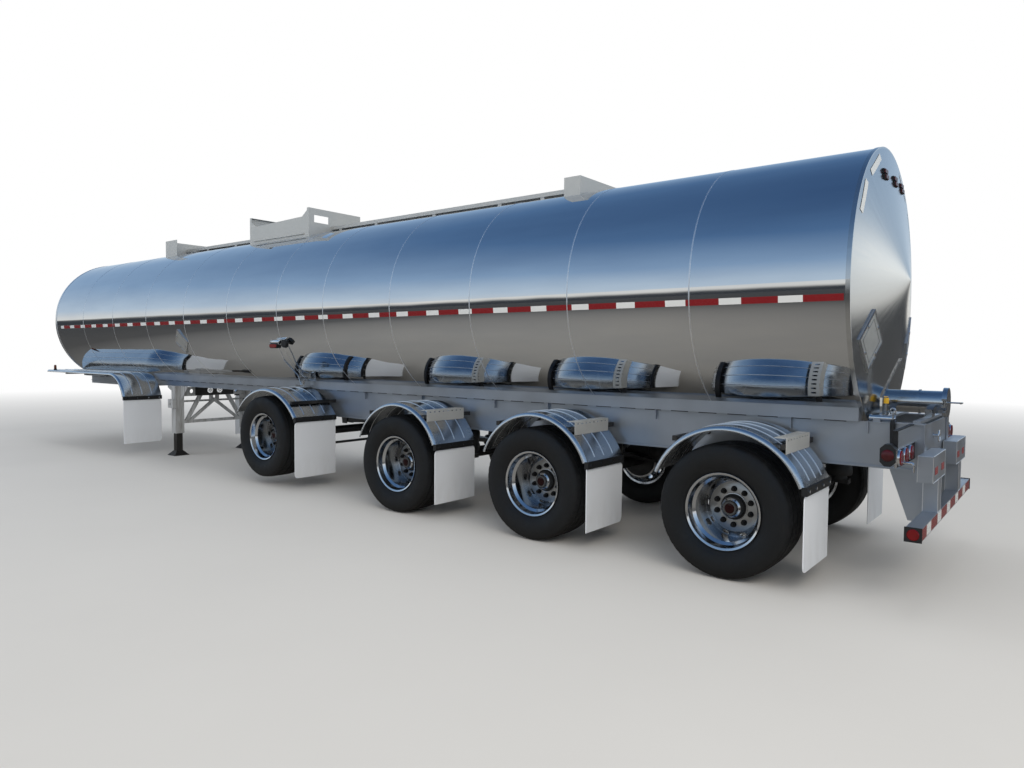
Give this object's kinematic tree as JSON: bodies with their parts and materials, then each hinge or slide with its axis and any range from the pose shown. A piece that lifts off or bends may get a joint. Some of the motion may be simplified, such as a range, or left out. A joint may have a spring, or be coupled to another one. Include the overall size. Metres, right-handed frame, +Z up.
{
  "type": "tanker semi-trailer",
  "caption": "Tanker semi-trailer with a polished round tank, manway in a spill dam, fenders over wide single wheels, a raised steering axle, landing legs and a rear outlet.",
  "frame": {"origin": "on the ground, at the centre of the trailer's length and width", "axes": "+X forward, towards the coupler pin; +Y to the trailer's left; +Z up"},
  "size_m": [14.754, 2.5926, 3.69],
  "materials": {
    "black_rubber": "moulded rubber",
    "end_steel": "stainless, satin with radial brushing",
    "fender_metal": "bright rolled sheet",
    "flap_white": "white sheet, blank",
    "frame_steel": "stainless, satin",
    "lamp_red": "red lens",
    "leg_black": "black paint",
    "leg_paint": "light grey paint",
    "placard": "white, blank",
    "running_gear": "black chassis paint, semi-gloss",
    "sheet_metal": "mill-finished sheet, dull",
    "tank_steel": "stainless, polished to a mirror",
    "tyre_rubber": "road tyre",
    "wheel_metal": "forged, polished"
  },
  "bodies": {
    "frame": {"air_springs": "black_rubber", "air_tanks": "frame_steel", "axle_beams": "running_gear", "brake_chambers": "running_gear", "bumper_beam": "frame_steel", "bumper_plates": "frame_steel", "coupler_pin": "frame_steel", "coupler_plate": "frame_steel", "crossmembers": "frame_steel", "end_dams": "sheet_metal", "fender_brackets": "running_gear", "flap_hangers": "black_rubber", "frame_rails": "frame_steel", "front_guards": "fender_metal", "ladder": "sheet_metal", "lamp_carriers": "black_rubber", "lamp_stalks": "wheel_metal", "landing_brace": "leg_paint", "landing_feet": "leg_black", "landing_legs": "leg_paint", "manway_collar": "tank_steel", "manway_dam": "sheet_metal", "mud_flaps": "flap_white", "outlet_fittings": "end_steel", "outlet_tube": "end_steel", "rear_placards": "placard", "side_lamps": "lamp_red", "side_placards": "placard", "steer_beam": "running_gear", "step_plates": "sheet_metal", "suspension_hangers": "running_gear", "tail_lamps": "lamp_red", "tank_barrel": "tank_steel", "tank_front_head": "end_steel", "tank_pads": "frame_steel", "tank_rear_cone": "end_steel", "top_walkways": "sheet_metal", "trailing_arms": "running_gear", "wheel_fenders": "fender_metal"},
    "wheel_1_left_set": {"tyre_1_left": "tyre_rubber", "wheel_1_left": "wheel_metal"},
    "wheel_1_right_set": {"tyre_1_right": "tyre_rubber", "wheel_1_right": "wheel_metal"},
    "wheel_2_left_set": {"tyre_2_left": "tyre_rubber", "wheel_2_left": "wheel_metal"},
    "wheel_2_right_set": {"tyre_2_right": "tyre_rubber", "wheel_2_right": "wheel_metal"},
    "wheel_3_left_set": {"tyre_3_left": "tyre_rubber", "wheel_3_left": "wheel_metal"},
    "wheel_3_right_set": {"tyre_3_right": "tyre_rubber", "wheel_3_right": "wheel_metal"},
    "wheel_4_left_set": {"tyre_4_left": "tyre_rubber", "wheel_4_left": "wheel_metal"},
    "wheel_4_right_set": {"tyre_4_right": "tyre_rubber", "wheel_4_right": "wheel_metal"},
    "knuckle_left_body": {"knuckle_left": "running_gear"},
    "knuckle_right_body": {"knuckle_right": "running_gear"},
    "tie_rod_body": {"tie_rod": "running_gear"},
    "manway_lid_body": {"manway_lid": "tank_steel"},
    "outlet_cap_body": {"outlet_cap": "end_steel"}
  },
  "joints": [
    {"name": "wheel_1_left_spin", "type": "hinge", "parent": "knuckle_left_body", "child": "wheel_1_left_set", "pos_m": [0.149, 1.0725, 0.625], "axis": [0, 1, 0], "continuous": true},
    {"name": "wheel_1_right_spin", "type": "hinge", "parent": "knuckle_right_body", "child": "wheel_1_right_set", "pos_m": [0.149, -1.0725, 0.625], "axis": [0, 1, 0], "continuous": true},
    {"name": "wheel_2_left_spin", "type": "hinge", "parent": "frame", "child": "wheel_2_left_set", "pos_m": [-2.326, 1.0725, 0.522], "axis": [0, 1, 0], "continuous": true},
    {"name": "wheel_2_right_spin", "type": "hinge", "parent": "frame", "child": "wheel_2_right_set", "pos_m": [-2.326, -1.0725, 0.522], "axis": [0, 1, 0], "continuous": true},
    {"name": "wheel_3_left_spin", "type": "hinge", "parent": "frame", "child": "wheel_3_left_set", "pos_m": [-4.146, 1.0725, 0.522], "axis": [0, 1, 0], "continuous": true},
    {"name": "wheel_3_right_spin", "type": "hinge", "parent": "frame", "child": "wheel_3_right_set", "pos_m": [-4.146, -1.0725, 0.522], "axis": [0, 1, 0], "continuous": true},
    {"name": "wheel_4_left_spin", "type": "hinge", "parent": "frame", "child": "wheel_4_left_set", "pos_m": [-5.966, 1.0725, 0.522], "axis": [0, 1, 0], "continuous": true},
    {"name": "wheel_4_right_spin", "type": "hinge", "parent": "frame", "child": "wheel_4_right_set", "pos_m": [-5.966, -1.0725, 0.522], "axis": [0, 1, 0], "continuous": true},
    {"name": "steer_left", "type": "hinge", "parent": "frame", "child": "knuckle_left_body", "pos_m": [0.149, 0.742, 0.625], "axis": [0, 0, 1], "range_deg": [-15, 15]},
    {"name": "steer_right", "type": "hinge", "parent": "frame", "child": "knuckle_right_body", "pos_m": [0.149, -0.742, 0.625], "axis": [0, 0, 1], "range_deg": [-15, 15]},
    {"name": "tie_rod_swing", "type": "hinge", "parent": "knuckle_left_body", "child": "tie_rod_body", "pos_m": [-0.111, 0.742, 0.485], "axis": [0, 0, 1], "range_deg": [-15, 15]},
    {"name": "manway_lid_hinge", "type": "hinge", "parent": "frame", "child": "manway_lid_body", "pos_m": [0.6715, 0, 3.468], "axis": [0, -1, 0], "range_deg": [0, 105]},
    {"name": "outlet_cap_hinge", "type": "hinge", "parent": "frame", "child": "outlet_cap_body", "pos_m": [-7.271, 0.135, 1.36], "axis": [0, 0, -1], "range_deg": [0, 100]}
  ],
  "couplings": [
    {"joint": "steer_right", "follows": "steer_left", "ratio": 1},
    {"joint": "tie_rod_swing", "follows": "steer_left", "ratio": -1}
  ]
}
